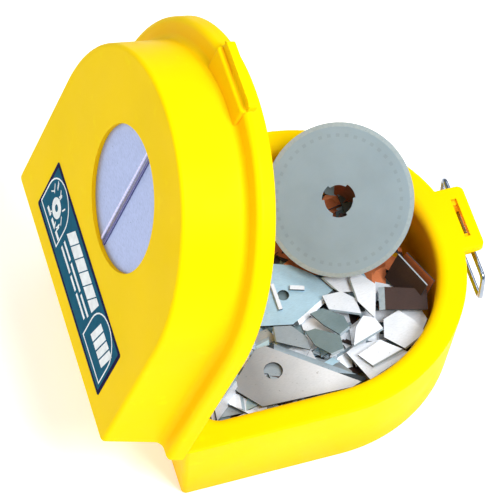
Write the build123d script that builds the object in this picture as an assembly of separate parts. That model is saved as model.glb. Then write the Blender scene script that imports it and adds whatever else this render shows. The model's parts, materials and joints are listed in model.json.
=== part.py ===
from build123d import *

import math
import os

# A desk-top disposal case for used craft blades, shown open with blades in it.
# Every solid is first placed about the hinge: the hinge axis is the Y axis, the
# tray's rim is the plane Z = 0, and +X runs from the hinge to the latch. The last
# lines move the whole case so that its origin is under its middle, on the table.

# Case outline, in millimetres: a straight base, straight sides and a round end.
BASE_X = 2.2
ARCH_X = 49.8

# Tray
TRAY_HALF = 48.9
TRAY_DEPTH = 29.6
TRAY_DRAFT = 2.9
TRAY_CORNER = 1.6
TRAY_WALL = 2.5
TRAY_FLOOR = 2.4
RIM_WIDTH = 8.6
RIM_SHOULDER = 3.2
CAVITY_DRAFT = 1.0
CHANNEL_TOP = -4.4
RIB_THICKNESS = 1.6

# Lid, drawn closed on the tray and then swung open
LID_GAP = 0.3
LID_DEPTH = 23.0
LID_HALF = 52.1
LID_WALL = 2.2
FLANGE = 5.0
FLANGE_ROUND = 1.8
LID_DRAFT = 1.3
BOX_HALF = 46.7
BOX_ARCH_X = 48.6
OPEN_ANGLE = 69.5

# Window in the lid and the slotted plate behind it
WINDOW_X = 57.5
WINDOW_Y = -2.1
WINDOW_R = 20.1
WINDOW_LIP = 1.2
SEAT_R = 22.0
PLATE_R = 21.9
PLATE_THICKNESS = 0.8
SLOT_LENGTH = 39.0
SLOT_WIDTH = 1.0
SLOT_LIP = 0.9
SLOT_LIP_HEIGHT = 0.4
RING_INNER_R = 19.6
RING_HEIGHT = 1.5
BOSS_WALL = 2.4

# Label on the lid
LABEL_NEAR_X = 10.2
LABEL_FAR_X = 29.8
LABEL_Y = -1.5
LABEL_HALF = 32.7
LABEL_THICKNESS = 0.15

# Hinge
PIN_R = 0.8
PIN_LENGTH = 72.0
KNUCKLE_R = 1.9
KNUCKLES = 7
KNUCKLE_GAP = 0.3
RUNNING_CLEARANCE = 0.06

# Latch: two tabs, one over the other, and a wire bail that swings over both
LATCH_Y = 4.0
TAB_HALF = 10.9
TAB_TIP_X = 104.6
TRAY_TAB = 2.4
LID_TAB_LOW = 2.4
LID_TAB = 2.2
LID_TAB_TIP_X = 103.8
RIDGE_WIDTH = 0.9
RIDGE_HEIGHT = 0.4
PAD_TIP_X = 100.8
PAD_TOP = 6.2
TAB_SLOT_X = 100.6
TAB_SLOT_LENGTH = 13.2
TAB_SLOT_WIDTH = 1.6
BAIL_X = 102.0
BAIL_Z = -6.0
BAIL_HALF = 17.9
BAIL_DROP = 11.7
BAIL_CORNER = 1.8
WIRE_R = 0.8
LUG_WIDTH = 3.0
LUG_OFFSET = 6.6
LUG_R = 1.9

# Blades
HEAP_TOP = -15.0
LEVEL_GAP = 0.05
MOUND_CENTRE = (71.0, 20.0)
MOUND_TOP = -6.0
MOUND_R = 20.0
MOUND_TOP_R = 11.0
ROTARY_R = 22.5
ROTARY_THICKNESS = 0.3
ROTARY_EDGE = 1.3
ROTARY_HOLE_R = 4.3
ROTARY_LOBE_R = 5.1
ROTARY_CENTRE = (66.9, 15.8, 6.1)
ROTARY_TILT = 37.0
ROTARY_FACING = 222.9
SEGMENT_WIDTH = 9.0
SEGMENT_PITCH = 5.0
SEGMENT_THICKNESS = 0.38
SNAP_ANGLE = 59.0
WIDE_THICKNESS = 0.5


def arch(base_x, half_width, corner=0.0, centre_x=ARCH_X):
    """The case's outline: a straight base at base_x and a half circle at the far end."""
    straight = Pos((base_x + centre_x) / 2, 0) * Rectangle(centre_x - base_x, 2 * half_width)
    half_plane = Pos(centre_x + half_width, 0) * Rectangle(2 * half_width, 4 * half_width)
    outline = straight + (Pos(centre_x, 0) * Circle(half_width) & half_plane)
    if corner > 0:
        outline = fillet(outline.vertices().sort_by(Axis.X)[:2], corner)
    return outline


def tapered(outline, low_z, height, flare):
    """A wall height tall over an outline. It stands out by flare at its top."""
    taper = -math.degrees(math.atan(flare / height))
    return Pos(0, 0, low_z) * extrude(outline, height, taper=taper)


def square_base(solid, base_x):
    """Cuts a flared solid off upright at its straight base."""
    return solid - Pos(base_x - 10, 0, -TRAY_DEPTH / 2) * Box(20, 3 * TRAY_HALF, 2 * TRAY_DEPTH)


def at_height(edges, z):
    """The edges that lie at one height."""
    return edges.filter_by(lambda e: abs(e.bounding_box().min.Z - z) < 0.01
                           and abs(e.bounding_box().max.Z - z) < 0.01)


def rod(radius, length):
    """A round bar along Y, centred."""
    return Rot(90, 0, 0) * Cylinder(radius, length)


def knuckles(first, bore_r, above):
    """Every second hinge knuckle, with the web that joins it to its half of the case."""
    pitch = PIN_LENGTH / KNUCKLES
    width = pitch - KNUCKLE_GAP
    web_low, web_high = (LID_GAP, KNUCKLE_R) if above else (-KNUCKLE_R, 0)
    barrels = []
    for index in range(first, KNUCKLES, 2):
        y = -PIN_LENGTH / 2 + (index + 0.5) * pitch
        web = Pos((BASE_X + 0.6) / 2, 0, (web_low + web_high) / 2) * Box(
            BASE_X + 0.6, width, web_high - web_low)
        barrel = rod(KNUCKLE_R, width) + web - rod(bore_r, 2 * width)
        barrels.append(Pos(0, y, 0) * barrel)
    return barrels


def channel_ribs():
    """The thin ribs across the hollow under the tray's rim."""
    ribs = []
    for angle in range(-75, 76, 30):
        ribs.append(Pos(ARCH_X, 0) * Rot(0, 0, angle) * Pos(TRAY_HALF - 6, 0, -TRAY_DEPTH / 2)
                    * Box(12, RIB_THICKNESS, TRAY_DEPTH))
    for x in (18, 34):
        for side in (-1, 1):
            ribs.append(Pos(x, side * (TRAY_HALF - 6), -TRAY_DEPTH / 2)
                        * Box(RIB_THICKNESS, 12, TRAY_DEPTH))
    return ribs


def tray_tab():
    """The latch tab at the tray's rim, with its slot and the two lugs that hold the bail."""
    inner_x = ARCH_X + TRAY_HALF - 3
    plate = Pos((inner_x + TAB_TIP_X) / 2, 0, -TRAY_TAB / 2) * Box(
        TAB_TIP_X - inner_x, 2 * TAB_HALF, TRAY_TAB)
    plate = fillet(plate.edges().filter_by(Axis.Z).sort_by(Axis.X)[-2:], 2.0)
    plate = fillet(plate.faces().sort_by(Axis.Z)[-1].edges().sort_by(Axis.X)[-1:], 0.7)
    slot = Rectangle(TAB_SLOT_WIDTH, TAB_SLOT_LENGTH)
    plate -= Pos(TAB_SLOT_X, 0, -2 * TRAY_TAB) * extrude(slot, 3 * TRAY_TAB)
    for side in (-1, 1):
        block_low = BAIL_Z
        block = Pos((inner_x + BAIL_X + LUG_R) / 2, 0, (block_low - 1) / 2) * Box(
            BAIL_X + LUG_R - inner_x, LUG_WIDTH, -block_low - 1)
        nose = Pos(BAIL_X, 0, BAIL_Z) * rod(LUG_R, LUG_WIDTH)
        web = Pos((inner_x + BAIL_X) / 2, 0, BAIL_Z - LUG_R / 2) * Box(
            BAIL_X - inner_x, LUG_WIDTH, LUG_R)
        bore = Pos(BAIL_X, 0, BAIL_Z) * rod(WIRE_R + RUNNING_CLEARANCE, 2 * LUG_WIDTH)
        plate += Pos(0, side * LUG_OFFSET, 0) * (block + nose + web - bore)
    return Pos(0, LATCH_Y, 0) * plate


def tray_shell():
    """The lower half: walls, a broad flat rim, a floor, and a hollow under the rim."""
    outer = tapered(arch(BASE_X, TRAY_HALF - TRAY_DRAFT), -TRAY_DEPTH, TRAY_DEPTH, TRAY_DRAFT)
    outer = square_base(outer, BASE_X)
    corners = [edge for edge in outer.edges()
               if edge.bounding_box().max.X < BASE_X + 0.01 and edge.bounding_box().size.Z > 1]
    outer = fillet(corners, TRAY_CORNER)
    outer = fillet(at_height(outer.edges(), -TRAY_DEPTH), 0.8)
    inner_base = BASE_X + RIM_WIDTH + CAVITY_DRAFT
    inner_half = TRAY_HALF - RIM_WIDTH - CAVITY_DRAFT
    floor_z = TRAY_FLOOR - TRAY_DEPTH
    cavity = tapered(arch(inner_base, inner_half, 4), floor_z, -floor_z, CAVITY_DRAFT)
    shell = outer - cavity
    rim_face = shell.faces().filter_by(Axis.Z).sort_by(Axis.Z)[-1]
    shell = fillet(rim_face.inner_wires()[0].edges(), RIM_SHOULDER)
    rim_face = shell.faces().filter_by(Axis.Z).sort_by(Axis.Z)[-1]
    shell = fillet(rim_face.outer_wire().edges(), 0.6)
    inset = TRAY_DRAFT + TRAY_WALL
    height = TRAY_DEPTH + CHANNEL_TOP
    channel = tapered(arch(BASE_X + TRAY_WALL, TRAY_HALF - inset), -TRAY_DEPTH, height, TRAY_DRAFT)
    channel = square_base(channel, BASE_X + TRAY_WALL)
    channel -= tapered(arch(inner_base - TRAY_WALL, inner_half + TRAY_WALL, 4), -TRAY_DEPTH,
                       height, CAVITY_DRAFT)
    for rib in channel_ribs():
        channel -= rib
    shell -= channel
    shell += tray_tab()
    for barrel in knuckles(0, PIN_R, above=False):
        shell += barrel
    return shell


def lid_tab():
    """The lid's latch tab, with the low ridge that the bail snaps in behind."""
    inner_x = ARCH_X + LID_HALF - 3
    plate = Pos((inner_x + LID_TAB_TIP_X) / 2, 0, LID_TAB_LOW + LID_TAB / 2) * Box(
        LID_TAB_TIP_X - inner_x, 2 * TAB_HALF, LID_TAB)
    ridge = Pos(LID_TAB_TIP_X - RIDGE_WIDTH / 2, 0, LID_TAB_LOW + LID_TAB + RIDGE_HEIGHT / 2) * Box(
        RIDGE_WIDTH, 2 * TAB_HALF, RIDGE_HEIGHT)
    plate += ridge
    plate = fillet(plate.edges().filter_by(Axis.Z).sort_by(Axis.X)[-2:], 1.2)
    return Pos(0, LATCH_Y, 0) * plate


def lid_pad():
    """The raised pad on the flange, just inside the latched bail."""
    near_x = ARCH_X + BOX_HALF - 8
    pad = Pos((near_x + PAD_TIP_X) / 2, LATCH_Y, PAD_TOP / 2 + 0.5) * Box(
        PAD_TIP_X - near_x, 2 * TAB_HALF, PAD_TOP - 1)
    return fillet(pad.faces().sort_by(Axis.Z)[-1].edges(), 0.7)


def lid_shell():
    """The upper half, closed: a flanged box with a round window in its face."""
    face_z = LID_GAP + LID_DEPTH
    flange_z = LID_GAP + FLANGE
    flange = tapered(arch(BASE_X, LID_HALF, 1.2), LID_GAP, FLANGE, -LID_DRAFT * FLANGE / LID_DEPTH)
    box = tapered(arch(BASE_X, BOX_HALF, 0, BOX_ARCH_X), LID_GAP, LID_DEPTH, -LID_DRAFT)
    lid = flange + box
    foot = [edge for edge in at_height(lid.edges(), flange_z)
            if edge.bounding_box().size.X > 20 and abs(edge.position_at(0.5).Y) < BOX_HALF
            and edge.position_at(0.5).X < ARCH_X + BOX_HALF]
    lid = fillet(foot, 2.0)
    brim = [edge for edge in at_height(lid.edges(), flange_z)
            if max(abs(edge.position_at(0.5).Y), edge.position_at(0.5).X - ARCH_X) > LID_HALF - 1]
    lid = fillet(brim, FLANGE_ROUND)
    lid = fillet(at_height(lid.edges(), face_z), 1.2)
    lid += lid_pad()
    cavity_z = face_z - LID_WALL
    cavity = tapered(arch(BASE_X + LID_WALL, BOX_HALF - LID_WALL, 1, BOX_ARCH_X), LID_GAP,
                     LID_DEPTH - LID_WALL, -LID_DRAFT)
    lid -= cavity
    plate_z = face_z - WINDOW_LIP
    boss_z = plate_z - PLATE_THICKNESS - RING_HEIGHT
    lid += Pos(WINDOW_X, WINDOW_Y, boss_z) * extrude(Circle(SEAT_R + BOSS_WALL), cavity_z + 0.2 - boss_z)
    lid -= Pos(WINDOW_X, WINDOW_Y, boss_z - 1) * extrude(Circle(SEAT_R), plate_z - boss_z + 1)
    lid -= Pos(WINDOW_X, WINDOW_Y, boss_z) * extrude(Circle(WINDOW_R), LID_DEPTH)
    lid += lid_tab()
    for barrel in knuckles(1, PIN_R + RUNNING_CLEARANCE, above=True):
        lid += barrel
    return lid


def hinge_pin():
    """A plain steel pin through every knuckle."""
    pin = rod(PIN_R, PIN_LENGTH)
    return chamfer(pin.edges().filter_by(GeomType.CIRCLE), 0.2)


def slot_plate():
    """The round plate in the window. Its slot has a raised lip along each side."""
    top_z = LID_GAP + LID_DEPTH - WINDOW_LIP
    plate = Pos(0, 0, -PLATE_THICKNESS) * extrude(Circle(PLATE_R), PLATE_THICKNESS)
    for side in (-1, 1):
        lip = Box(SLOT_LENGTH, SLOT_LIP, SLOT_LIP_HEIGHT)
        lip = fillet(lip.edges().filter_by(Axis.X).sort_by(Axis.Z)[-2:], 0.25)
        offset = (SLOT_WIDTH + SLOT_LIP) / 2
        plate += Pos(0, side * offset, SLOT_LIP_HEIGHT / 2) * lip
    plate -= Box(SLOT_LENGTH, SLOT_WIDTH, 4)
    return Pos(WINDOW_X, WINDOW_Y, top_z) * plate


def plate_ring():
    """The ring that holds the slotted plate in its seat from inside the lid."""
    top_z = LID_GAP + LID_DEPTH - WINDOW_LIP - PLATE_THICKNESS
    ring = extrude(Circle(PLATE_R) - Circle(RING_INNER_R), RING_HEIGHT)
    for angle in range(45, 360, 90):
        ring -= Rot(0, 0, angle) * Pos(RING_INNER_R, 0, 0) * Box(1.6, 5, 2 * RING_HEIGHT)
    return Pos(WINDOW_X, WINDOW_Y, top_z - RING_HEIGHT) * ring


def label():
    """The printed film label beside the window."""
    film = RectangleRounded(LABEL_FAR_X - LABEL_NEAR_X, 2 * LABEL_HALF, 0.8)
    middle = (LABEL_NEAR_X + LABEL_FAR_X) / 2
    return Pos(middle, LABEL_Y, LID_GAP + LID_DEPTH) * extrude(film, LABEL_THICKNESS)


def wire_bail():
    """A closed loop of round wire whose upper side turns in the tray's two lugs."""
    middle = Vector(BAIL_X, LATCH_Y, BAIL_Z - BAIL_DROP / 2)
    plane = Plane(origin=middle, x_dir=(0, 1, 0), z_dir=(1, 0, 0))
    loop = plane * RectangleRounded(2 * BAIL_HALF, BAIL_DROP, BAIL_CORNER)
    path = loop.face().outer_wire()
    start = path.position_at(0)
    return sweep(Plane(origin=start, z_dir=path.tangent_at(0)) * Circle(WIRE_R), path=path)


def blade_heap():
    """The mass of snapped pieces that fills the bottom of the tray, higher at the back."""
    inner_base = BASE_X + RIM_WIDTH + CAVITY_DRAFT + 0.4
    inner_half = TRAY_HALF - RIM_WIDTH - CAVITY_DRAFT - 0.4
    floor_z = TRAY_FLOOR - TRAY_DEPTH
    outline = arch(inner_base, inner_half, 3.5)
    heap = Pos(0, 0, floor_z) * extrude(outline, HEAP_TOP - floor_z)
    mound_height = MOUND_TOP - HEAP_TOP
    mound = Pos(*MOUND_CENTRE, HEAP_TOP + mound_height / 2 - 0.5) * Cone(
        MOUND_R, MOUND_TOP_R, mound_height + 1)
    heap += mound & (Pos(0, 0, floor_z) * extrude(outline, TRAY_DEPTH))
    return heap


def rotary_blade():
    """A round 45 mm blade, sharpened from both faces, with a three-lobed hole."""
    half = ROTARY_THICKNESS / 2
    section = Polygon((0, -half), (ROTARY_R - ROTARY_EDGE, -half), (ROTARY_R, 0),
                      (ROTARY_R - ROTARY_EDGE, half), (0, half), align=None)
    disc = revolve(Plane.XZ * section, Axis.Z)
    hole = Circle(ROTARY_HOLE_R)
    for lobe in range(3):
        wedge = Polygon((0, 0), (8, -4), (8, 4), align=None)
        hole += Rot(0, 0, 30 + 120 * lobe) * (Circle(ROTARY_LOBE_R) & wedge)
    disc -= Pos(0, 0, -1) * extrude(hole, 2)
    lean = Rot(0, 0, ROTARY_FACING) * Rot(0, ROTARY_TILT, 0)
    return Pos(*ROTARY_CENTRE) * lean * disc


def strip_blade(points, thickness, bevel, hole=None):
    """A flat blade whose first side, along local X, is the sharpened one."""
    plate = extrude(Polygon(*points, align=None), thickness)
    if bevel:
        length = points[1][0] + 40
        wedge = Polygon((-1, -0.1), (bevel, thickness), (-1, thickness + 1), align=None)
        plate -= Pos(-20, 0, 0) * extrude(Plane.YZ * wedge, length)
    if hole:
        x, y, radius = hole
        plate -= Pos(x, y, -1) * extrude(Circle(radius), 3)
    return plate


def segment(length=SEGMENT_PITCH, width=SEGMENT_WIDTH, thickness=SEGMENT_THICKNESS):
    """One snapped-off piece: a parallelogram with a bevel along its sharp side."""
    lean = width / math.tan(math.radians(SNAP_ANGLE))
    corners = [(0, 0), (length, 0), (length + lean, width), (lean, width)]
    return strip_blade(corners, thickness, 0.13 * width)


def laid(shape, x, y, z, turn, roll=0.0):
    """A blade laid at a place in the tray, turned about Z and tipped up about its long side."""
    return Pos(x, y, z) * Rot(0, 0, turn) * Rot(roll, 0, 0) * shape


def stack(blades, placed):
    """Drops flat blades one by one, each onto the highest of those it lies across."""
    for shape, x, y, turn, lowest in blades:
        flat = laid(shape, x, y, 0, turn)
        box = flat.bounding_box()
        level = lowest
        for other, other_box, top in placed:
            apart = (box.min.X > other_box.max.X or box.max.X < other_box.min.X
                     or box.min.Y > other_box.max.Y or box.max.Y < other_box.min.Y)
            if top + LEVEL_GAP > level and not apart and (flat & other):
                level = top + LEVEL_GAP
        placed.append((flat, box, level + box.size.Z))
        yield Pos(0, 0, level) * flat


def heel_blade_shape():
    """The heel of a wide blade, with its hanging hole."""
    corners = [(0, 0), (31.6, 0), (19.4, 16.4), (-4.3, 16.4)]
    plate = strip_blade(corners, WIDE_THICKNESS, 1.9, (4.6, 7.6, 2.75))
    return mirror(plate, Plane.XZ)


def pointed_blade_shape():
    """The end of a wide blade, cut to a point, with a small hole."""
    corners = [(-4, -9), (19.5, -9), (30.5, 1.5), (19.0, 9), (-4, 9)]
    return strip_blade(corners, WIDE_THICKNESS, 0, (14.6, 0.6, 1.75))


def sliver(length, width):
    """A narrow strip broken off a blade's edge."""
    return strip_blade([(0, 0), (length, 0), (length, width), (0, width)],
                       SEGMENT_THICKNESS, 0)


def flat_blades():
    """Every blade that lies flat, from the bottom up, by node name."""
    scattered = []
    for index in range(26):
        angle = 137.5 * index
        radius = 6.6 * math.sqrt(index + 0.5)
        x = ARCH_X - 2 + radius * math.cos(math.radians(angle))
        y = radius * math.sin(math.radians(angle))
        clear_of_mound = math.hypot(x - MOUND_CENTRE[0], y - MOUND_CENTRE[1]) > MOUND_R + 4
        if clear_of_mound and math.hypot(x - ARCH_X, y) < 32:
            scattered.append((Pos(-5.2, -4.5, 0) * segment(), x, y, 71 * index, HEAP_TOP))
    low = [(segment(), 77.6, -20.4, 140, -13.5), (segment(), 63.4, -20.6, 25, -13.5),
           (segment(), 68.0, -15.8, 60, -13.5), (segment(), 60.0, 1.0, -70, -13.5),
           (segment(), 57.0, -28.5, -15, -13.5), (segment(), 40.6, 24.0, 100, -13.5),
           (segment(), 28.0, 20.0, 10, -13.5), (segment(), 24.0, -8.0, 200, -13.5)]
    high = [(segment(), 66.9, -9.0, 200, -12.5), (segment(), 73.6, -22.4, 197, -12.5),
            (segment(), 66.0, -24.0, 15, -12.5), (segment(), 70.6, -4.4, -100, -12.5),
            (segment(), 47.5, -13.2, 150, -12.5)]
    groups = {
        "scattered_segments": scattered,
        "pointed_blade": [(pointed_blade_shape(), 31.6, 3.9, -17.0, -13.5)],
        "lower_segments": low,
        "heel_blade": [(heel_blade_shape(), 36.4, -14.2, -37.8, -13.0)],
        "blade_slivers": [(sliver(8.6, 1.3), 42.6, 4.4, -88, -13.0),
                          (sliver(5.2, 1.1), 47.2, 2.2, -16, -13.0)],
        "upper_segments": high,
        "near_dark_segment": [(segment(), 58.0, -16.8, 237, -12.5)],
        "far_dark_segment": [(segment(), 61.6, -10.8, 232, -12.0)],
        "dark_strip_blade": [(segment(7.4, 11.6), 73.0, -8.0, 250.8, -12.0)],
    }
    placed = []
    return {name: list(stack(blades, placed)) for name, blades in groups.items()}


def standing_blades():
    """The blades that stand or lean among the others, by node name."""
    plain = sliver(13.5, 9.0)
    edge_on = [laid(sliver(12, 5.5), 12.6 + 1.5 * n, -34.6 + 0.4 * n, HEAP_TOP + 0.2, 41, 82)
               for n in range(3)]
    round_end = extrude(SlotOverall(14, 5.6), SEGMENT_THICKNESS)
    prop = sliver(12, 17.7)
    return {
        "edge_on_blades": edge_on,
        "prop_blade": [laid(prop, 77.1, 16.6, MOUND_TOP + 0.1, 132.9, 90)],
        "leaning_blade": [laid(plain, 76.4, -2.1, -11.4, -69, 58)],
        "wall_blade": [laid(plain, 78.8, -2.8, -11.4, -68, 66)],
        "round_end_blade": [laid(round_end, 79.6, 6.4, -3.4, 100, 62)],
    }


NODES = {}
for maker in (tray_shell, hinge_pin, wire_bail, blade_heap, rotary_blade):
    NODES[maker.__name__] = [maker()]
for maker in (lid_shell, slot_plate, plate_ring, label):
    NODES[maker.__name__] = [Rot(0, -OPEN_ANGLE, 0) * maker()]
NODES.update(flat_blades())
NODES.update(standing_blades())

solids = [solid for parts in NODES.values() for part in parts for solid in part.solids()]
whole = Compound(children=solids).bounding_box()
to_origin = Pos(-(whole.min.X + whole.max.X) / 2, -(whole.min.Y + whole.max.Y) / 2, TRAY_DEPTH)
print("hinge axis and tray rim now pass through", to_origin.position)
os.makedirs("parts", exist_ok=True)
for name, parts in NODES.items():
    placed = [to_origin * solid for part in parts for solid in part.solids()]
    export_step(placed[0] if len(placed) == 1 else Compound(children=placed),
                f"parts/{name}.step")
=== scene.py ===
import json
import math
import random

import bmesh
import bpy
from mathutils import Matrix, Vector


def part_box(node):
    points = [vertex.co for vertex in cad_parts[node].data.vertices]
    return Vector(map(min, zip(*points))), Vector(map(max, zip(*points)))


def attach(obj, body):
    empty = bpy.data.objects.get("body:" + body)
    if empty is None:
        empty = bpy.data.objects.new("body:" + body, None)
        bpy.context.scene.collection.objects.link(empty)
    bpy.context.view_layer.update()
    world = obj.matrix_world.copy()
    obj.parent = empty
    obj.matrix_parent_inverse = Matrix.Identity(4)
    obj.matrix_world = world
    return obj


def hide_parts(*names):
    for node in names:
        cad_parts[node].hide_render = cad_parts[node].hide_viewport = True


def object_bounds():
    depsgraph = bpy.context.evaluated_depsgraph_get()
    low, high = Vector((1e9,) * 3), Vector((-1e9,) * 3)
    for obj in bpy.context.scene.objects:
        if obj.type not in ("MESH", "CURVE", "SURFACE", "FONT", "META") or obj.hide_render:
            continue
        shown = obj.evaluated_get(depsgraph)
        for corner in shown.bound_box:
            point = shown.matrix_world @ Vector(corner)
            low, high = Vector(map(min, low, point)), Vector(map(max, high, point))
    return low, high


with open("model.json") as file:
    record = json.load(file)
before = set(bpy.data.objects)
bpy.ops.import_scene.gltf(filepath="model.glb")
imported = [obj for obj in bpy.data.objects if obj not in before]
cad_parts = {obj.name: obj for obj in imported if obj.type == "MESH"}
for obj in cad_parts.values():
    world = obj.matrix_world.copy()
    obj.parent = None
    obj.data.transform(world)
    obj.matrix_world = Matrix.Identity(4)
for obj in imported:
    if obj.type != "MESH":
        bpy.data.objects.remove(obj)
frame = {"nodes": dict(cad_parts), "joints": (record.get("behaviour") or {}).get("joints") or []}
cad_box = [list(corner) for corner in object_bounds()]
nodes = frame["nodes"]
joints = {joint["name"]: joint for joint in frame["joints"]}

# Shapes below are in millimetres about the hinge: X runs to the latch, Z = 0 is the tray's rim.
MM = 0.001
HINGE = Vector(joints["lid_hinge"]["pos_m"])
OPEN_ANGLE = -math.radians(joints["lid_hinge"]["range_deg"][0])
TRAY = Matrix.Translation(HINGE)
LID = TRAY @ Matrix.Rotation(-OPEN_ANGLE, 4, "Y")
TOP_OF_HEAP = (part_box("scattered_segments")[1].z - HINGE.z) / MM


# ---------------------------------------------------------------- materials

class Shader:
    """A Principled material, and short calls that add nodes to it."""

    def __init__(self, name, colour, roughness, metallic=0.0):
        self.material = bpy.data.materials.new(name)
        self.material.use_nodes = True
        self.tree = self.material.node_tree
        self.principled = self.tree.nodes["Principled BSDF"]
        self.principled.inputs["Base Color"].default_value = (*colour, 1)
        self.principled.inputs["Roughness"].default_value = roughness
        self.principled.inputs["Metallic"].default_value = metallic
        self.bumps = None

    def add(self, kind, inputs=(), **settings):
        """Adds a node. Each input is another node's socket, which is linked, or a value."""
        node = self.tree.nodes.new(kind)
        for key, value in settings.items():
            setattr(node, key, value)
        for key, value in dict(inputs).items():
            if isinstance(value, bpy.types.NodeSocket):
                self.tree.links.new(value, node.inputs[key])
            else:
                node.inputs[key].default_value = value
        return node

    def set(self, socket, source):
        self.tree.links.new(source, self.principled.inputs[socket])

    def place(self, stretch=(1, 1, 1)):
        coords = self.add("ShaderNodeTexCoord").outputs["Object"]
        return self.add("ShaderNodeMapping", {"Vector": coords, "Scale": stretch}).outputs[0]

    def noise(self, scale, detail=3.0, stretch=(1, 1, 1)):
        return self.add("ShaderNodeTexNoise", {"Vector": self.place(stretch), "Scale": scale,
                                               "Detail": detail}).outputs["Fac"]

    def ramp(self, value, low, high, out_low, out_high):
        """Maps a range of values to another range, and holds it at both ends."""
        return self.add("ShaderNodeMapRange", {"Value": value, 1: low, 2: high, 3: out_low,
                                               4: out_high}).outputs[0]

    def mix(self, factor, first, second):
        return self.add("ShaderNodeMix", {0: factor, 6: first, 7: second},
                        data_type="RGBA").outputs[2]

    def bump(self, height, distance, strength=1.0):
        inputs = {"Height": height, "Distance": distance, "Strength": strength}
        if self.bumps is not None:
            inputs["Normal"] = self.bumps
        self.bumps = self.add("ShaderNodeBump", inputs).outputs["Normal"]
        self.set("Normal", self.bumps)

    def soften(self, radius):
        """Rounds edges in shading only. It comes before the bumps."""
        self.bumps = self.add("ShaderNodeBevel", {"Radius": radius}, samples=4).outputs[0]
        self.set("Normal", self.bumps)


def rgba(colour):
    return (*colour, 1.0)


def moulded_plastic(name, colour, scuffed, painted_shade_colour, roughness, grain):
    """Moulded plastic: slow colour drift, fine grain, dull scuffs, and painted shade in hollows."""
    shader = Shader(name, colour, roughness)
    shader.principled.inputs["Specular IOR Level"].default_value = 0.025
    drift = shader.ramp(shader.noise(38, 2), 0.35, 0.7, 0.0, 1.0)
    scuffs = shader.ramp(shader.noise(210, 6), 0.62, 0.75, 0.0, 0.5)
    tone = shader.mix(drift, rgba(colour), rgba([0.96 * c for c in colour]))
    tone = shader.mix(scuffs, tone, rgba(scuffed))
    # Painted shade: an ambient-occlusion mask mixes the base colour towards a deeper colour in
    # hollows, standing in for shade and light bounced between the walls.
    openness = shader.add("ShaderNodeAmbientOcclusion", {"Distance": 28 * MM}, samples=6)
    hollow = shader.ramp(openness.outputs["AO"], 0.30, 0.85, 0.65, 0.0)
    shader.set("Base Color", shader.mix(hollow, tone, rgba(painted_shade_colour)))
    shader.set("Roughness", shader.ramp(shader.noise(120, 4), 0.3, 0.75, roughness - 0.06,
                                        roughness + 0.10))
    shader.soften(0.35 * MM)
    shader.bump(shader.noise(2600, 2), 0.02 * MM, grain)
    shader.bump(shader.noise(45, 2), 0.25 * MM, 0.25)
    return shader


def steel(name, colour, smudge, roughness, stretch=(1, 9, 1), stained=0.4, metallic=0.55):
    """Ground blade steel: lengthwise grinding lines, oily smudges and small dull spots."""
    shader = Shader(name, colour, roughness, metallic)
    lines = shader.noise(900, 2, stretch)
    smudges = shader.ramp(shader.noise(160, 4), 0.45, 0.72, 0.0, stained)
    spots = shader.ramp(shader.noise(1100, 3), 0.68, 0.76, 0.0, 0.6)
    tone = shader.mix(smudges, rgba(colour), rgba(smudge))
    streaks = shader.ramp(lines, 0.42, 0.66, 0.0, 0.4)
    tone = shader.mix(streaks, tone, rgba([0.72 * c for c in colour]))
    shader.set("Base Color", shader.mix(spots, tone, rgba([0.35 * c for c in smudge])))
    shader.set("Roughness", shader.ramp(lines, 0.3, 0.7, roughness - 0.05, roughness + 0.12))
    shader.bump(lines, 0.01 * MM, 0.5)
    return shader


def darker_low_x_end(shader, low, high, dull):
    """Darkens a blade's low-X end: most below one place along X, not at all above another."""
    x = shader.add("ShaderNodeSeparateXYZ", {0: shader.place()}).outputs[0]
    # The argument dull is the darker colour that the low-X end is mixed towards.
    low_x_darkening = shader.ramp(x, low * MM, high * MM, 0.75, 0.0)
    undarkened = shader.principled.inputs["Base Color"].links[0].from_socket
    shader.set("Base Color", shader.mix(low_x_darkening, undarkened, rgba(dull)))
    return shader


MARK_COUNT = 44
MARK_BAND = (18.2, 19.3)


def turned_steel(name, colour, dark, roughness):
    """Steel polished in rings, with a ring of short etched marks that aren't letters."""
    shader = Shader(name, colour, roughness, 0.3)
    x, y, _ = shader.add("ShaderNodeSeparateXYZ", {0: shader.place()}).outputs
    flat = shader.add("ShaderNodeCombineXYZ", {0: x, 1: y}).outputs[0]
    radius = shader.add("ShaderNodeVectorMath", {0: flat}, operation="LENGTH").outputs["Value"]
    rings = shader.add("ShaderNodeTexNoise", {"W": radius, "Scale": 2600.0, "Detail": 3.0},
                       noise_dimensions="1D").outputs["Fac"]
    angle = shader.add("ShaderNodeMath", {0: y, 1: x}, operation="ARCTAN2").outputs[0]
    turn = shader.add("ShaderNodeMath", {0: angle, 1: MARK_COUNT}, operation="MULTIPLY").outputs[0]
    bars = shader.add("ShaderNodeMath", {0: turn}, operation="SINE").outputs[0]
    bars = shader.ramp(bars, 0.15, 0.35, 0.0, 1.0)
    inner, outer = MARK_BAND
    near = shader.ramp(radius, inner * MM, (inner + 0.1) * MM, 0.0, 1.0)
    far = shader.ramp(radius, (outer - 0.1) * MM, outer * MM, 1.0, 0.0)
    band = shader.add("ShaderNodeMath", {0: near, 1: far}, operation="MULTIPLY").outputs[0]
    marks = shader.add("ShaderNodeMath", {0: band, 1: bars}, operation="MULTIPLY").outputs[0]
    marks = shader.ramp(marks, 0.0, 1.0, 0.0, 0.28)
    smudges = shader.ramp(shader.noise(90, 4), 0.4, 0.75, 0.0, 0.6)
    tone = shader.mix(smudges, rgba(colour), rgba([0.8 * c for c in colour]))
    shader.set("Base Color", shader.mix(marks, tone, rgba(dark)))
    shader.set("Roughness", shader.ramp(rings, 0.3, 0.7, roughness - 0.06, roughness + 0.08))
    shader.bump(rings, 0.006 * MM, 0.5)
    return shader


# The last colour given to each moulding is its painted shade in hollows: deep orange on the yellow,
# near-black on the grey.
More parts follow.
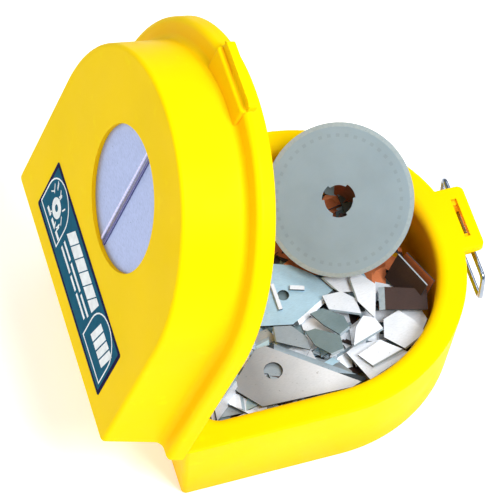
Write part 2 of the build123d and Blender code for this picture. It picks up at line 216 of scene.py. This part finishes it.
YELLOW = moulded_plastic("yellow_moulding", (0.93, 0.63, 0.0), (0.95, 0.70, 0.0),
                         (0.95, 0.38, 0.01), 0.46, 0.2)
GREY_PLASTIC = moulded_plastic("grey_moulding", (0.10, 0.11, 0.12), (0.2, 0.2, 0.2),
                               (0.04, 0.04, 0.04), 0.5, 0.4)
PLATE = steel("satin_plate", (0.37, 0.44, 0.68), (0.31, 0.38, 0.60), 0.42, (9, 1, 1), 0.2)
PIN_STEEL = steel("drawn_pin", (0.55, 0.55, 0.56), (0.4, 0.4, 0.4), 0.32, (1, 0.1, 1), 0.4, 0.9)
WIRE_STEEL = steel("bail_wire", (0.30, 0.36, 0.46), (0.16, 0.2, 0.28), 0.16, (1, 1, 1), 0.3, 1.0)
DISC_STEEL = turned_steel("round_blade_steel", (0.28, 0.39, 0.48), (0.17, 0.23, 0.27), 0.42)
EDGE_STEEL = steel("ground_edge", (0.34, 0.44, 0.52), (0.28, 0.36, 0.42), 0.4, (1, 1, 1), 0.1, 0.3)
DISC_EDGE = steel("ground_rim", (0.34, 0.43, 0.48), (0.30, 0.38, 0.43), 0.4, (1, 1, 1), 0.1, 0.3)
WHITE_STEEL = steel("bright_blade_steel", (0.76, 0.82, 0.90), (0.56, 0.64, 0.71), 0.36,
                    metallic=0.3)
# The heel's steel gets darker towards its low-X end: most of the way to the dark colour at X = 30
# mm, and not at all above X = 50 mm.
HEEL_STEEL = darker_low_x_end(steel("blade_steel_darker_at_low_x", (0.70, 0.74, 0.79), (0.54, 0.60, 0.65), 0.38,
                               metallic=0.3), 30, 50, (0.11, 0.12, 0.13))
# Near-black for the blades' snapped sides. This is partly their real darker look and partly painted
# shade, drawing the thin shadow outlines round each piece.
CUT_SIDE_AND_SHADE_STEEL = steel("snapped_edge_and_painted_shade", (0.03, 0.045, 0.055), (0.02, 0.02, 0.02), 0.6, metallic=0.1)
GREY_STEEL = steel("grey_blade_steel", (0.34, 0.40, 0.44), (0.24, 0.29, 0.33), 0.36)
BLUE_STEEL = steel("blue_blade_steel", (0.46, 0.68, 0.82), (0.28, 0.46, 0.58), 0.38)
# A dark teal copy of the blade steel: painted shade deep in the heap and under the pointed blade's
# hole. The two dark lying pieces use it too.
TEAL_STEEL = steel("dark_teal_blade_steel", (0.17, 0.24, 0.26), (0.07, 0.12, 0.13), 0.38)
# A dark brown copy of the blade steel: painted shade deep in the heap, and near the wall a painted
# reflection of the yellow walls in shade.
BROWN_STEEL = steel("dark_brown_blade_steel", (0.06, 0.035, 0.03), (0.03, 0.02, 0.02), 0.42)
# A bronze copy for the blade propped under the round blade: a painted reflection of the yellow
# walls in shade, seen through the round blade's hole.
BRONZE_REFLECTION_STEEL = steel("bronze_painted_reflection_steel", (0.40, 0.15, 0.08), (0.2, 0.08, 0.04), 0.36)
# An amber copy for pieces by the right wall and for the round-ended blade: a painted reflection of
# the yellow walls in shade.
AMBER_REFLECTION_STEEL = steel("amber_painted_reflection_steel", (0.56, 0.17, 0.06), (0.30, 0.08, 0.03), 0.36)
# Two copies of the plate's steel for the slot's lips: one pale as a painted highlight, one
# near-black navy as painted shade.
HIGHLIGHT_LIP = steel("painted_highlight_lip", (0.62, 0.60, 0.85), (0.5, 0.5, 0.75), 0.25, (9, 1, 1), 0.1)
DARK_LIP = steel("shaded_lip", (0.035, 0.03, 0.20), (0.03, 0.03, 0.16), 0.3, (9, 1, 1), 0.1, 0.3)


def film(name, colour, roughness):
    """Printed film: ink mottle and a faint orange-peel surface."""
    shader = Shader(name, colour, roughness)
    shader.principled.inputs["Specular IOR Level"].default_value = 0.01
    mottle = shader.ramp(shader.noise(400, 4), 0.35, 0.7, 0.0, 1.0)
    shader.set("Base Color", shader.mix(mottle, rgba(colour), rgba([0.82 * c for c in colour])))
    shader.bump(shader.noise(700, 2), 0.01 * MM, 0.4)
    return shader


TEAL_INK = film("teal_ink", (0.006, 0.10, 0.17), 0.4)
NAVY_INK = film("navy_ink", (0.004, 0.004, 0.05), 0.4)
WHITE_INK = film("white_ink", (0.86, 0.9, 0.9), 0.4)


# ---------------------------------------------------------------- mesh helpers

def make_object(name, mesh_data, shaders, place, body, replaced=()):
    """Scales a millimetre bmesh to metres, gives it materials and sets it on a body."""
    bmesh.ops.scale(mesh_data, vec=(MM, MM, MM), verts=mesh_data.verts)
    bmesh.ops.recalc_face_normals(mesh_data, faces=mesh_data.faces)
    mesh = bpy.data.meshes.new(name)
    mesh_data.to_mesh(mesh)
    mesh_data.free()
    for shader in shaders:
        mesh.materials.append(shader.material)
    piece = bpy.data.objects.new(name, mesh)
    bpy.context.scene.collection.objects.link(piece)
    piece.matrix_world = place
    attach(piece, body)
    if replaced:
        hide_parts(*replaced)


def prism(target, low, high, side_material=0, top_material=0, first_side=None):
    """A solid between two outlines with the same number of points."""
    bottom = [target.verts.new(point) for point in low]
    top = [target.verts.new(point) for point in high]
    target.faces.new(list(reversed(bottom))).material_index = top_material
    target.faces.new(top).material_index = top_material
    count = len(low)
    for index in range(count):
        after = (index + 1) % count
        face = target.faces.new([bottom[index], bottom[after], top[after], top[index]])
        face.material_index = side_material
        if index == 0 and first_side is not None:
            face.material_index = first_side


def ray_to_outline(centre, angle, outline):
    """Where a ray from the centre meets a convex outline."""
    direction = Vector((math.cos(angle), math.sin(angle)))
    best = None
    for index, start in enumerate(outline):
        side = outline[(index + 1) % len(outline)] - start
        cross = direction.x * side.y - direction.y * side.x
        if abs(cross) < 1e-9:
            continue
        gap = start - centre
        along = (gap.x * side.y - gap.y * side.x) / cross
        share = (gap.x * direction.y - gap.y * direction.x) / cross
        if along > 0 and -1e-6 <= share <= 1 + 1e-6 and (best is None or along < best[0]):
            best = (along, index)
    return centre + best[0] * direction, best[1]


def blade(target, corners, thickness, bevel, hole=None, place=Matrix.Identity(4),
          shades=(0, 1, 2)):
    """A flat blade whose first side is ground to an edge, with a round hole if one is given."""
    low = [Vector(point) for point in corners]
    along = (low[1] - low[0]).normalized()
    inward = Vector((-along.y, along.x))
    high = [point.copy() for point in low]
    for index, towards in ((0, -1), (1, 2)):
        side = low[towards] - low[index]
        high[index] += side * (bevel / max(side.dot(inward), 0.01))
    body, edge, cut = shades
    if hole is None:
        prism(target, [place @ Vector((*p, 0)) for p in low],
              [place @ Vector((*p, thickness)) for p in high], cut, body,
              edge if bevel else None)
        return
    x, y, radius = hole
    centre = Vector((x, y))
    angles = [2 * math.pi * step / 40 for step in range(40)]
    for point in low + high:
        offset = point - centre
        angles.append(math.atan2(offset.y, offset.x) % (2 * math.pi))
    angles = sorted(set(round(angle, 5) for angle in angles))
    rings = []
    for angle in angles:
        under, side = ray_to_outline(centre, angle, low)
        over, _ = ray_to_outline(centre, angle, high)
        spoke = centre + radius * Vector((math.cos(angle), math.sin(angle)))
        points = [(*spoke, 0), (*under, 0), (*over, thickness), (*spoke, thickness)]
        rings.append(([target.verts.new(place @ Vector(p)) for p in points], side))
    for (ring, side), (after, next_side) in zip(rings, rings[1:] + rings[:1]):
        for index in range(4):
            following = (index + 1) % 4
            face = target.faces.new([ring[index], ring[following], after[following],
                                     after[index]])
            sharp = side == 0 and next_side == 0 and bevel
            face.material_index = (body, edge if sharp else cut, body, cut)[index]


def lying(x, y, z, turn, roll=0.0, pitch=0.0):
    """A place in the tray: turned about Z, then tipped about its long and short sides."""
    return (Matrix.Translation((x, y, z)) @ Matrix.Rotation(math.radians(turn), 4, "Z")
            @ Matrix.Rotation(math.radians(pitch), 4, "Y")
            @ Matrix.Rotation(math.radians(roll), 4, "X"))


def segment_outline(length=5.0, width=9.0, snap_angle=59):
    """The leaning outline of one snapped piece, ground along its first side."""
    lean = width / math.tan(math.radians(snap_angle))
    return [(0, 0), (length, 0), (length + lean, width), (lean, width)]


# ---------------------------------------------------------------- the heap of snapped pieces

CAVITY_BASE_X = 12.6
CAVITY_HALF = 38.4
ARCH_X = 49.8
FLOOR_Z = -26.4
MOUND = Vector((71.0, 20.0))
MOUND_R = 20.0
MOUND_FADE = 9.0
MOUND_HEIGHT = 8.4
HEAP_ABOVE_TOP = 1.9
POINTED_HOLE = (45.7, -0.3, 1.75)
PIECE_COUNT = 620
PIECE_THICKNESS = 0.38
PIECE_BEVEL = 0.9
HEAP_STEELS = [WHITE_STEEL, GREY_STEEL, BLUE_STEEL, TEAL_STEEL, EDGE_STEEL, BROWN_STEEL,
               AMBER_REFLECTION_STEEL, CUT_SIDE_AND_SHADE_STEEL]
WHITE, GREY, BLUE, TEAL, EDGE, BROWN, AMBER, CUT = range(8)


def heap_surface(x, y):
    """How high the loose pieces may reach at a place. They rise under the round blade."""
    rise = (MOUND_R - (Vector((x, y)) - MOUND).length) / MOUND_FADE
    return TOP_OF_HEAP + HEAP_ABOVE_TOP + MOUND_HEIGHT * min(max(rise, 0.0), 1.0)


def in_cavity(x, y, margin=0.0):
    """Whether a place is over the tray's hollow."""
    half = CAVITY_HALF - margin
    if x < CAVITY_BASE_X + margin or abs(y) > half:
        return False
    return x <= ARCH_X or math.hypot(x - ARCH_X, y) < half


def piece_steel_and_painted_shade(dice, x, y, depth):
    """Bright pieces on top at random; painted shade lower down and under the pointed blade's hole;
    browns and ambers near the round blade as painted reflection of the yellow walls.
    """
    # Deeper pieces get darker steels: painted shade.
    if depth < 1.2:
        shades = (WHITE, WHITE, GREY, BLUE)
    else:
        shades = (GREY, TEAL, BROWN) if depth < 3 else (TEAL, BROWN, BROWN)
    shade = dice.choice(shades)
    # Near the round blade and the right wall, browns and ambers: a painted reflection of the yellow
    # walls in shade.
    if x > 74 or y > 6:
        shade = dice.choice((BROWN, AMBER, AMBER, TEAL) if depth < 3 else (BROWN, AMBER, TEAL))
    # Dark teal under the pointed blade's hole: painted shade.
    hole_x, hole_y, _ = POINTED_HOLE
    if math.hypot(x - hole_x, y - hole_y) < 7:
        shade = TEAL
    return shade


def build_heap():
    """Hundreds of snapped pieces, tipped at random, filling the tray to the heap's surface."""
    dice = random.Random(11)
    heap = bmesh.new()
    made = 0
    while made < PIECE_COUNT:
        x = dice.uniform(CAVITY_BASE_X, ARCH_X + CAVITY_HALF)
        y = dice.uniform(-CAVITY_HALF, CAVITY_HALF)
        if not in_cavity(x, y, 1):
            continue
        top = heap_surface(x, y)
        depth = dice.uniform(0, 1) ** 1.5 * 6.5
        lean = 26 if made % 5 else 62
        kind = dice.random()
        if kind < 0.74:
            outline = segment_outline()
        elif kind < 0.86:
            outline = segment_outline(dice.uniform(6, 9), dice.uniform(9, 13), 66)
        else:
            outline = segment_outline(dice.uniform(2.0, 3.4), dice.uniform(7, 9), 70)
        place = lying(x, y, top - 0.6 - depth, dice.uniform(0, 360), dice.gauss(0, lean / 2),
                      dice.gauss(0, 8))
        spots = [place @ Vector((*p, z)) for p in outline for z in (0, PIECE_THICKNESS)]
        if any(not in_cavity(p.x, p.y) or p.z < FLOOR_Z or p.z > heap_surface(p.x, p.y)
               for p in spots):
            continue
        shade = piece_steel_and_painted_shade(dice, x, y, depth)
        # Browns and ambers carry their painted reflection onto the ground edge too.
        edge = shade if shade in (BROWN, AMBER) else EDGE
        blade(heap, outline, PIECE_THICKNESS, PIECE_BEVEL, place=place, shades=(shade, edge, CUT))
        made += 1
    make_object("loose_snapped_pieces", heap, HEAP_STEELS, TRAY, "tray",
                ["blade_heap", "scattered_segments", "lower_segments"])


build_heap()


# ---------------------------------------------------------------- blades on top of the heap

def blade_piece(name, items, shaders, replaced):
    """One or more blades as one piece. Each item is blade()'s arguments after the target."""
    target = bmesh.new()
    for item in items:
        blade(target, *item)
    make_object(name, target, shaders, TRAY, "tray", replaced)


def middle(points):
    """The mean of an outline's corners."""
    return sum((Vector(p) for p in points), Vector((0, 0))) / len(points)


def plan_blade(points, z, slope=(0.0, 0.0), bevel=0.35, thickness=0.5, face=0):
    """A blade given by its outline seen from above, lying on a sloping plane."""
    area = sum(a[0] * b[1] - b[0] * a[1] for a, b in zip(points, points[1:] + points[:1]))
    if area < 0:
        points = [points[1], points[0]] + points[:1:-1]
    centre = middle(points)
    tilt = Matrix.Identity(4)
    tilt[2][0], tilt[2][1] = slope
    place = Matrix.Translation((*centre, z)) @ tilt
    outline = [tuple(Vector(p) - centre) for p in points]
    return (outline, thickness, bevel, None, place, (face, 1, 2))


def holed_blade(points, hole, z, slope, bevel):
    """A lying blade with a round hole, which is given as x, y and radius in the tray."""
    outline, thickness, bevel, _, place, shades = plan_blade(points, z, slope, bevel)
    x, y, radius = hole
    centre = middle(points)
    return (outline, thickness, bevel, (x - centre.x, y - centre.y, radius), place, shades)


heel = [(61.0, -33.1), (38.4, -14.9), (32.6, -15.6), (22.6, -25.6), (29.4, -33.9), (55.9, -34.8)]
blade_piece("heel_of_wide_blade",
            [holed_blade(heel, (35.7, -23.6, 2.75), -12.6, (0.0, 0.02), 1.9)],
            [HEEL_STEEL, EDGE_STEEL, CUT_SIDE_AND_SHADE_STEEL], ["heel_blade"])
pointed = [(47.5, -10.9), (61.0, -3.5), (56.1, 4.1), (50.9, 8.8), (45.8, 10.8), (26.0, 14.0),
           (26.0, -5.2), (36.8, -8.5)]
blade_piece("point_of_wide_blade", [holed_blade(pointed, POINTED_HOLE, -12.4, (0.0, 0.01), 1.3)],
            [BLUE_STEEL, WHITE_STEEL, CUT_SIDE_AND_SHADE_STEEL], ["pointed_blade"])
long_sliver = [(42.7, 3.7), (42.7, -5.1), (44.1, -5.1), (44.0, 3.8)]
short_sliver = [(48.1, 1.9), (47.7, 0.6), (52.0, -0.8), (52.4, 0.5)]
blade_piece("broken_slivers",
            [plan_blade(long_sliver, -11.5, (0.0, 0.02), 0.3),
             plan_blade(short_sliver, -11.4, (0.0, 0.02), 0.3)],
            [WHITE_STEEL, EDGE_STEEL, CUT_SIDE_AND_SHADE_STEEL], ["blade_slivers"])

near_dark = [(53.0, -24.7), (56.7, -24.3), (56.8, -19.6), (50.6, -15.4), (47.7, -15.5),
             (49.1, -20.4)]
far_dark = [(57.2, -19.4), (60.4, -17.9), (59.7, -14.0), (54.5, -10.0), (50.6, -10.6),
            (53.2, -14.8)]
blade_piece("near_dark_piece", [plan_blade(near_dark, -9.4, (0.1, 0.1), 0.5)],
            [TEAL_STEEL, EDGE_STEEL, CUT_SIDE_AND_SHADE_STEEL], ["near_dark_segment"])
blade_piece("far_dark_piece", [plan_blade(far_dark, -8.8, (0.05, 0.15), 0.5)],
            [TEAL_STEEL, EDGE_STEEL, CUT_SIDE_AND_SHADE_STEEL], ["far_dark_segment"])

# Each bright piece: its outline from above, its height and its slopes along X and Y.
bright_outlines = [
    ([(65.2, -14.1), (56.7, -9.8), (56.2, -4.6), (61.9, -4.8), (65.0, -8.3)], -10.4, (0.06, 0.0)),
    ([(64.9, -9.5), (64.9, -2.6), (66.6, -1.3), (68.2, -1.5), (71.7, -6.6), (68.3, -17.0)], -8.6,
     (0.12, 0.05)),
    ([(59.5, -24.2), (69.6, -20.8), (68.2, -16.8), (65.1, -15.4), (62.0, -18.4)], -9.0,
     (-0.05, 0.1)),
    ([(73.1, -28.7), (63.2, -31.5), (59.9, -26.9), (67.4, -24.2)], -9.6, (0.0, 0.12)),
    ([(80.9, -25.7), (73.8, -28.6), (69.1, -23.0), (70.7, -17.4), (75.7, -16.0), (79.1, -20.8)],
     -9.6, (0.12, 0.02)),
    ([(61.4, -35.1), (70.3, -31.7), (74.6, -29.2), (68.0, -23.0), (60.4, -22.8), (57.3, -24.4)],
     -11.2, (0.0, 0.0)),
    ([(57.8, 1.7), (59.9, -2.5), (61.5, -4.7), (66.0, -6.0), (68.0, -1.0)], -10.8, (0.05, 0.0)),
    ([(75.0, -8.5), (76.4, -15.0), (80.2, -24.0), (83.0, -20.5), (82.0, -15.0)], -10.9, (0.1, 0)),
]
grey_outline = [(39.3, -10.6), (38.7, -15.4), (47.6, -20.6), (48.0, -16.6), (44.6, -11.7)]
blade_piece("bright_pieces", [plan_blade(*item) for item in bright_outlines]
            + [plan_blade(grey_outline, -10.9, (0.0, 0.05), face=3)],
            [WHITE_STEEL, EDGE_STEEL, CUT_SIDE_AND_SHADE_STEEL, GREY_STEEL], ["upper_segments"])

dark_strip = [(70.3, -14.6), (72.2, -7.6), (85.2, -12.6), (83.6, -18.8)]
blade_piece("dark_strip", [plan_blade(dark_strip, -8.0, (0.1, 0.1), 1.7, 0.45)],
            [BROWN_STEEL, EDGE_STEEL, CUT_SIDE_AND_SHADE_STEEL], ["dark_strip_blade"])


def upright(start, end, low, high, lean, thickness=0.4):
    """A blade standing on edge along a line, leaning to one side."""
    first, last = Vector(start), Vector(end)
    along = last - first
    place = (Matrix.Translation((*first, low))
             @ Matrix.Rotation(math.atan2(along.y, along.x), 4, "Z")
             @ Matrix.Rotation(math.radians(lean), 4, "X"))
    height = (high - low) / math.sin(math.radians(lean))
    outline = [(along.length, height), (0, height), (0, 0), (along.length, 0)]
    return (outline, thickness, 0.15, None, place)


# The leaning blade is dark brown and the blade by the wall amber: a painted reflection of the
# yellow wall in shade.
blade_piece("leaning_dark_blade", [upright((76.2, -2.5), (80.9, -14.9), -12.0, -3.5, 62)],
            [BROWN_STEEL, GREY_STEEL, CUT_SIDE_AND_SHADE_STEEL], ["leaning_blade"])
blade_piece("blade_by_wall", [upright((78.9, -3.0), (83.6, -14.4), -12.0, -2.8, 66)],
            [AMBER_REFLECTION_STEEL, BROWN_STEEL, CUT_SIDE_AND_SHADE_STEEL], ["wall_blade"])
blade_piece("thin_blades_on_edge",
            [upright((12.9 + 1.5 * n, -34.0 + 0.4 * n), (21.4 + 1.5 * n, -26.6 + 0.4 * n), -15.0,
                     -9.4, 82) for n in range(3)],
            [WHITE_STEEL, EDGE_STEEL, CUT_SIDE_AND_SHADE_STEEL], ["edge_on_blades"])

# ---------------------------------------------------------------- the round blade

DISC_R = 22.5
DISC_CENTRE = Vector((66.9, 15.8, 6.1))
DISC_FACING = math.radians(222.9)
DISC_TILT = math.radians(37)
DISC_RIM = DISC_R - 1.3
DISC_SIDES = 216
HOLE_R = 4.3
LOBE_R = 5.1


def hole_radius(angle):
    """The blade's centre hole: a circle with three shallow square-cornered lobes."""
    lobe = (math.degrees(angle) - 30 + 60) % 120 - 60
    return LOBE_R if abs(lobe) < 26.6 else HOLE_R


def round_blade():
    """A 45 mm blade with a ground rim on both faces and a three-lobed hole."""
    target = bmesh.new()
    rings = []
    for index in range(DISC_SIDES):
        angle = 2 * math.pi * (index + 0.5) / DISC_SIDES
        spoke = Vector((math.cos(angle), math.sin(angle), 0))
        hole = hole_radius(angle)
        profile = [(hole, -0.11), (hole + 0.04, -0.15), (DISC_RIM, -0.15), (DISC_R, 0),
                   (DISC_RIM, 0.15), (hole + 0.04, 0.15), (hole, 0.11)]
        rings.append([target.verts.new(spoke * r + Vector((0, 0, z))) for r, z in profile])
    for ring, after in zip(rings, rings[1:] + rings[:1]):
        for index in range(7):
            following = (index + 1) % 7
            face = target.faces.new([ring[index], ring[following], after[following],
                                     after[index]])
            face.material_index = 1 if index in (2, 3) else 0
    place = (TRAY @ Matrix.Translation(MM * DISC_CENTRE) @ Matrix.Rotation(DISC_FACING, 4, "Z")
             @ Matrix.Rotation(DISC_TILT, 4, "Y"))
    make_object("round_cutter_blade", target, [DISC_STEEL, DISC_EDGE], place, "tray",
                ["rotary_blade"])


round_blade()

# ---------------------------------------------------------------- the lid's label

FACE_Z = 23.3
LABEL_X = (10.2, 29.8)
LABEL_Y = (-34.2, 31.2)
FILM_Z = (0.0, 0.09)
INK_Z = (0.07, 0.11)
ART_Z = (0.10, 0.14)
FRAME_X = 12.8
FRAME_LENGTH = 16.2
FRAME_HALF = 8.3
FRAME_LINE = 0.45
UPPER_Y = 22.0
LOWER_Y = -23.8
RING_X = 20.2


def patch(target, outline, levels, ink):
    """A thin slab of ink between two levels over the lid's face."""
    low, high = (FACE_Z + level for level in levels)
    prism(target, [(x, y, low) for x, y in outline], [(x, y, high) for x, y in outline], ink, ink)


def band(target, outer, inner, levels, ink):
    """A closed line of even width, drawn as one short block after another."""
    for index in range(len(outer)):
        after = (index + 1) % len(outer)
        patch(target, [outer[index], outer[after], inner[after], inner[index]], levels, ink)


def tombstone(y, inset=0.0):
    """A round-ended frame like the case's own outline, pointing to the window."""
    half, x, length = FRAME_HALF - inset, FRAME_X + inset, FRAME_LENGTH - 2 * inset
    points = [(x, y - half), (x, y + half)]
    for step in range(15):
        angle = math.pi / 2 - math.pi * step / 14
        points.append((x + length - half + half * math.cos(angle), y + half * math.sin(angle)))
    return points


def rounded(x0, x1, y0, y1, radius):
    """A rectangle's outline with round corners."""
    points = []
    for cx, cy, start in ((x1, y1, 0), (x0, y1, 90), (x0, y0, 180), (x1, y0, 270)):
        for step in range(5):
            angle = math.radians(start + 22.5 * step)
            inward = (radius * (math.cos(angle) - (1 if start in (0, 270) else -1)),
                      radius * (math.sin(angle) - (1 if start in (0, 90) else -1)))
            points.append((cx + inward[0], cy + inward[1]))
    return points


def circle(radius):
    """A circle about the upper frame's ring."""
    turns = [2 * math.pi * step / 24 for step in range(24)]
    return [(RING_X + radius * math.cos(a), UPPER_Y + radius * math.sin(a)) for a in turns]


def upper_picture(art):
    """A round blade with a jumble of short pieces round it, and three bars beside them."""
    band(art, circle(3.1), circle(1.1), ART_Z, 2)
    for index in range(3):
        y = 26.0 - 4.3 * index
        patch(art, [(15.0, y), (15.0, y - 3.0), (16.2, y - 3.0), (16.2, y)], ART_Z, 2)
    dice = random.Random(4)
    for _ in range(26):
        x, y = dice.uniform(15.5, 26.0), dice.uniform(16.0, 28.0)
        slant = dice.uniform(-0.9, 0.9)
        if 4.1 < math.hypot(x - RING_X, y - UPPER_Y) < 6.6:
            patch(art, [(x - 1.0, y - slant), (x + 1.0, y + slant), (x + 1.0, y + slant + 0.5),
                        (x - 1.0, y - slant + 0.5)], ART_Z, 2)


def lower_picture(art):
    """Four slanted pieces side by side, like the end of a snap-off blade."""
    for index in range(4):
        y = -18.6 - 2.9 * index
        patch(art, [(17.2, y), (17.2, y - 2.4), (24.8, y - 4.0), (24.8, y - 1.6)], ART_Z, 2)


def middle_strip(art):
    """A strip of six snap-off pieces over two rows of plain bars."""
    for index in range(6):
        y = 12.2 - 4.5 * index
        tip = 1.6 if index == 5 else 0.0
        patch(art, [(21.4, y), (21.4, y - 4.1), (26.8, y - 6.9 + tip), (26.8, y - 2.8)], ART_Z, 2)
    for x, lengths in ((18.2, (6.5, 9.5, 7.5)), (15.8, (9.0, 5.0, 8.5))):
        y = 11.6
        for length in lengths:
            patch(art, [(x, y), (x, y - length), (x + 1.0, y - length), (x + 1.0, y)], ART_Z, 2)
            y -= length + 1.0


def label_art():
    """A teal label with a dark border, a framed picture at each end and a strip between."""
    art = bmesh.new()
    (x0, x1), (y0, y1) = LABEL_X, LABEL_Y
    patch(art, rounded(x0, x1, y0, y1, 0.8), FILM_Z, 1)
    patch(art, rounded(x0 + 1.1, x1 - 1.1, y0 + 1.2, y1 - 1.2, 0.4), INK_Z, 0)
    for y in (UPPER_Y, LOWER_Y):
        band(art, tombstone(y), tombstone(y, FRAME_LINE), ART_Z, 2)
    upper_picture(art)
    lower_picture(art)
    middle_strip(art)
    make_object("lid_label", art, [TEAL_INK, NAVY_INK, WHITE_INK], LID, "lid",
                ["label"])


label_art()

# ---------------------------------------------------------------- lips of the slot: a painted highlight on one, painted shade on the other

WINDOW_X = 57.5
WINDOW_Y = -2.1
SLOT_HALF = 19.45
LIP_OFFSET = 0.96
PLATE_TOP = 22.1
LIP = [(-0.47, 0.0), (-0.46, 0.24), (-0.25, 0.43), (0.25, 0.43), (0.46, 0.24), (0.47, 0.0)]


def slot_lip(name, side, shader):
    """A rolled lip along one side of the window's slot, over the plate's own."""
    target = bmesh.new()
    low, high = ([(x, WINDOW_Y + side * LIP_OFFSET + y, PLATE_TOP + z) for y, z in LIP]
                 for x in (WINDOW_X - SLOT_HALF, WINDOW_X + SLOT_HALF))
    prism(target, low, high)
    make_object(name, target, [shader], LID, "lid")


# The near lip carries painted shade and the far lip a painted highlight. Both are the plate's own
# metal.
slot_lip("slot_lip_near", -1, DARK_LIP)
slot_lip("slot_lip_far", 1, HIGHLIGHT_LIP)

# ---------------------------------------------------------------- CAD nodes that stay

# The propped blade and the round-ended blade are bronze and amber: a painted reflection of the
# yellow walls in shade.
KEPT = {"tray_shell": YELLOW, "lid_shell": YELLOW, "hinge_pin": PIN_STEEL, "slot_plate": PLATE,
        "plate_ring": GREY_PLASTIC, "wire_bail": WIRE_STEEL, "prop_blade": BRONZE_REFLECTION_STEEL,
        "round_end_blade": AMBER_REFLECTION_STEEL}
for name, shader in KEPT.items():
    for slot in nodes[name].material_slots:
        slot.material = shader.material

# ---------------------------------------------------------------- floor, light and camera

FLOOR_HALF = 6.0
floor_mesh = bpy.data.meshes.new("floor")
corners = [(x * FLOOR_HALF, y * FLOOR_HALF, 0) for x, y in ((-1, -1), (1, -1), (1, 1), (-1, 1))]
floor_mesh.from_pydata(corners, [], [(0, 1, 2, 3)])
floor = bpy.data.objects.new("floor", floor_mesh)
floor.location.z = cad_box[0][2] - 0.0002
floor_shader = Shader("floor_white", (0.90, 0.90, 0.90), 0.9)
floor_shader.principled.inputs["Emission Color"].default_value = (1, 1, 1, 1)
floor_shader.principled.inputs["Emission Strength"].default_value = 0.35
floor_mesh.materials.append(floor_shader.material)
bpy.context.scene.collection.objects.link(floor)

world = bpy.data.worlds.new("studio")
bpy.context.scene.world = world
world.use_nodes = True
backdrop = world.node_tree.nodes["Background"]
backdrop.inputs["Color"].default_value = (0.93, 0.96, 1.0, 1)
backdrop.inputs["Strength"].default_value = 0.32

LIGHT_TARGET = Vector((0, 0, 0.03))


def softbox(name, place, power, width):
    """A square soft light turned to the case."""
    light = bpy.data.lights.new(name, "AREA")
    light.energy = power
    light.size = width
    lamp = bpy.data.objects.new(name, light)
    lamp.location = place
    aim = LIGHT_TARGET - Vector(place)
    lamp.rotation_euler = aim.to_track_quat("-Z", "Y").to_euler()
    bpy.context.scene.collection.objects.link(lamp)


softbox("key", (0.32, -0.48, 0.85), 12.0, 0.40)
softbox("left", (-0.95, -0.05, 0.40), 2.3, 0.6)
softbox("top", (-0.26, 0.14, 1.05), 1.8, 0.5)
softbox("rear", (0.62, 0.34, 0.80), 2.4, 0.5)

# The camera's place is in millimetres from the hinge. Its axes are its right, its up and its back.
CAMERA_LENS = 217.1
CAMERA_PLACE = Vector((-104.66, -430.07, 736.16))
CAMERA_AXES = Matrix(((0.958475, -0.284715, 0.016217), (0.232822, 0.814087, 0.532030),
                      (-0.164679, -0.506162, 0.846570)))
camera_data = bpy.data.cameras.new("camera")
camera_data.sensor_width = 36.0
camera_data.lens = CAMERA_LENS
camera = bpy.data.objects.new("camera", camera_data)
camera.matrix_world = (Matrix.Translation(HINGE + MM * CAMERA_PLACE)
                       @ CAMERA_AXES.transposed().to_4x4())
bpy.context.scene.collection.objects.link(camera)
bpy.context.scene.camera = camera
bpy.context.scene.view_settings.view_transform = "Standard"
